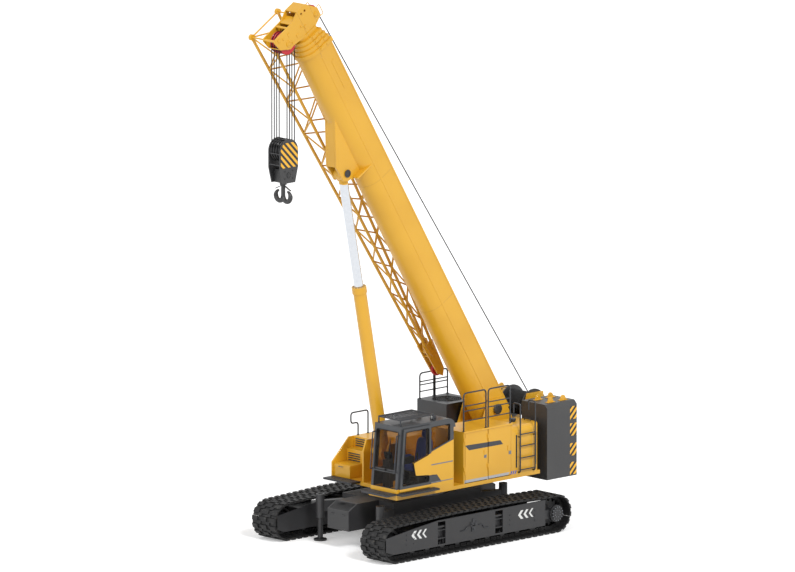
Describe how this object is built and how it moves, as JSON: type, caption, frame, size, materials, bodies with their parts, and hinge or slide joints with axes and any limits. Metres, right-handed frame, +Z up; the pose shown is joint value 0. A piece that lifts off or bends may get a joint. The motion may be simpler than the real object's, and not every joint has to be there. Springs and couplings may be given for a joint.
{
  "type": "telescopic-boom crawler crane",
  "caption": "Crawler crane on two tracks with a slewing house, side cab, telescopic boom raised by a cylinder, stowed lattice jib and hook block.",
  "frame": {"origin": "on the ground under the slew centre", "axes": "+X ahead over the idlers, +Y to the crane's left, +Z up"},
  "size_m": [8.65, 4.57, 13.4437],
  "materials": {
    "yellow_paint": "gloss",
    "dark_grey_paint": "satin",
    "black_paint": "satin",
    "red_paint": "satin",
    "track_steel": "matte",
    "bare_steel": "satin",
    "chrome_rod": "polished",
    "wire_rope": "satin",
    "cab_grey": "satin",
    "cab_glass": "tinted",
    "seat_cloth": "woven",
    "trim_plastic": "matte",
    "lamp_lens": "gloss"
  },
  "bodies": {
    "undercarriage": {"carbody": "dark_grey_paint", "slew_ring": "bare_steel", "track_left": "track_steel", "track_right": "track_steel", "track_frames": "dark_grey_paint", "sprockets": "dark_grey_paint", "idlers": "dark_grey_paint", "track_rollers": "dark_grey_paint"},
    "jack_front_left": {"jack_leg_front_left": "dark_grey_paint"},
    "jack_front_right": {"jack_leg_front_right": "dark_grey_paint"},
    "jack_rear_left": {"jack_leg_rear_left": "dark_grey_paint"},
    "jack_rear_right": {"jack_leg_rear_right": "dark_grey_paint"},
    "superstructure": {"turntable": "yellow_paint", "decks": "yellow_paint", "boom_foot_pin": "bare_steel", "left_housing": "yellow_paint", "fuel_tank": "yellow_paint", "right_housing": "yellow_paint", "cooler": "black_paint", "engine": "dark_grey_paint", "counterweight_base": "dark_grey_paint", "counterweight_middle": "dark_grey_paint", "counterweight_top": "dark_grey_paint", "winch_frame": "yellow_paint", "cab_floor": "cab_grey", "cab_left_side": "cab_grey", "cab_right_side": "cab_grey", "cab_front": "cab_grey", "cab_rear": "cab_grey", "cab_roof": "cab_grey", "cab_glass": "cab_glass", "seat": "seat_cloth", "consoles": "trim_plastic", "handrails": "black_paint", "ladder": "black_paint", "cab_guards": "black_paint", "steps": "black_paint", "lamps": "lamp_lens"},
    "front_housing_door": {"housing_door_front": "yellow_paint"},
    "rear_housing_door": {"housing_door_rear": "yellow_paint"},
    "sliding_cab_door": {"cab_door": "cab_grey", "cab_door_glass": "cab_glass"},
    "hoist_drum": {"winch_drum": "red_paint"},
    "base_section": {"boom_base": "yellow_paint", "jib": "yellow_paint"},
    "second_section": {"boom_section_2": "yellow_paint"},
    "third_section": {"boom_section_3": "yellow_paint"},
    "fourth_section": {"boom_section_4": "yellow_paint"},
    "tip_section": {"boom_tip": "yellow_paint"},
    "head_pulleys": {"head_sheaves": "red_paint"},
    "guide_pulley": {"guide_sheave": "red_paint"},
    "luffing_rod": {"luff_rod": "chrome_rod"},
    "luffing_barrel": {"luff_barrel": "yellow_paint"},
    "hoist_falls": {"rope_falls": "wire_rope"},
    "lower_block": {"hook_block": "dark_grey_paint"},
    "block_pulleys": {"block_sheaves": "red_paint"},
    "crane_hook": {"hook": "dark_grey_paint"}
  },
  "joints": [
    {"name": "slew", "type": "hinge", "parent": "undercarriage", "child": "superstructure", "pos_m": [0, 0, 1.31], "axis": [0, 0, 1], "continuous": true},
    {"name": "luff", "type": "hinge", "parent": "superstructure", "child": "base_section", "pos_m": [-2.43, 0, 2.81], "axis": [0, -1, 0], "range_deg": [-60.6, 21.4]},
    {"name": "telescope", "type": "slide", "parent": "base_section", "child": "tip_section", "axis": [0.521, 0, 0.8536], "range_m": [0, 34.4]},
    {"name": "telescope_second", "type": "slide", "parent": "base_section", "child": "second_section", "axis": [0.521, 0, 0.8536], "range_m": [0, 8.601]},
    {"name": "telescope_third", "type": "slide", "parent": "base_section", "child": "third_section", "axis": [0.521, 0, 0.8536], "range_m": [0, 17.201]},
    {"name": "telescope_fourth", "type": "slide", "parent": "base_section", "child": "fourth_section", "axis": [0.521, 0, 0.8536], "range_m": [0, 25.801]},
    {"name": "head_pulleys_turn", "type": "hinge", "parent": "tip_section", "child": "head_pulleys", "pos_m": [4.24996, 0, 12.55011], "axis": [0, 1, 0], "continuous": true},
    {"name": "guide_pulley_turn", "type": "hinge", "parent": "tip_section", "child": "guide_pulley", "pos_m": [3.3556, 0, 13.16164], "axis": [0, 1, 0], "continuous": true},
    {"name": "luffing_rod_swing", "type": "hinge", "parent": "base_section", "child": "luffing_rod", "pos_m": [2.31239, 0, 9.15897], "axis": [0, -1, 0], "range_deg": [-17.58, 6.22]},
    {"name": "luffing_stroke", "type": "slide", "parent": "luffing_rod", "child": "luffing_barrel", "axis": [-0.1908, 0, -0.9816], "range_m": [-2.4336, 0.8601]},
    {"name": "falls_plumb", "type": "hinge", "parent": "tip_section", "child": "hoist_falls", "pos_m": [4.24996, 0, 12.55011], "axis": [0, -1, 0], "range_deg": [-21.41, 60.61]},
    {"name": "hoist", "type": "slide", "parent": "hoist_falls", "child": "lower_block", "axis": [0, 0, -1], "range_m": [-1.9, 0], "deforming": ["rope_falls"]},
    {"name": "block_pulleys_turn", "type": "hinge", "parent": "lower_block", "child": "block_pulleys", "pos_m": [4.24996, 0, 9.95011], "axis": [0, 1, 0], "continuous": true},
    {"name": "hook_swivel", "type": "hinge", "parent": "lower_block", "child": "crane_hook", "pos_m": [4.24996, 0, 9.1501], "axis": [0, 0, 1], "continuous": true},
    {"name": "drum_turn", "type": "hinge", "parent": "superstructure", "child": "hoist_drum", "pos_m": [-3.72, 0, 2.72], "axis": [0, 1, 0], "continuous": true},
    {"name": "front_door_hinge", "type": "hinge", "parent": "superstructure", "child": "front_housing_door", "pos_m": [-0.373, 1.465, 2], "axis": [0, 0, -1], "range_deg": [0, 100]},
    {"name": "rear_door_hinge", "type": "hinge", "parent": "superstructure", "child": "rear_housing_door", "pos_m": [-1.153, 1.465, 2], "axis": [0, 0, -1], "range_deg": [0, 100]},
    {"name": "cab_door_slide", "type": "slide", "parent": "superstructure", "child": "sliding_cab_door", "axis": [-1, 0, 0], "range_m": [0, 0.74]},
    {"name": "jack_front_left_lift", "type": "slide", "parent": "undercarriage", "child": "jack_front_left", "axis": [0, 0, 1], "range_m": [0, 0.3]},
    {"name": "jack_front_right_lift", "type": "slide", "parent": "undercarriage", "child": "jack_front_right", "axis": [0, 0, 1], "range_m": [0, 0.3]},
    {"name": "jack_rear_left_lift", "type": "slide", "parent": "undercarriage", "child": "jack_rear_left", "axis": [0, 0, 1], "range_m": [0, 0.3]},
    {"name": "jack_rear_right_lift", "type": "slide", "parent": "undercarriage", "child": "jack_rear_right", "axis": [0, 0, 1], "range_m": [0, 0.3]}
  ],
  "couplings": [
    {"joint": "telescope_second", "follows": "telescope", "ratio": 0.25},
    {"joint": "telescope_third", "follows": "telescope", "ratio": 0.5},
    {"joint": "telescope_fourth", "follows": "telescope", "ratio": 0.75},
    {"joint": "luffing_rod_swing", "follows": "luff", "ratio": 0.29},
    {"joint": "luffing_stroke", "follows": "luff", "m_per_rad": 2.3},
    {"joint": "falls_plumb", "follows": "luff", "ratio": -1}
  ]
}
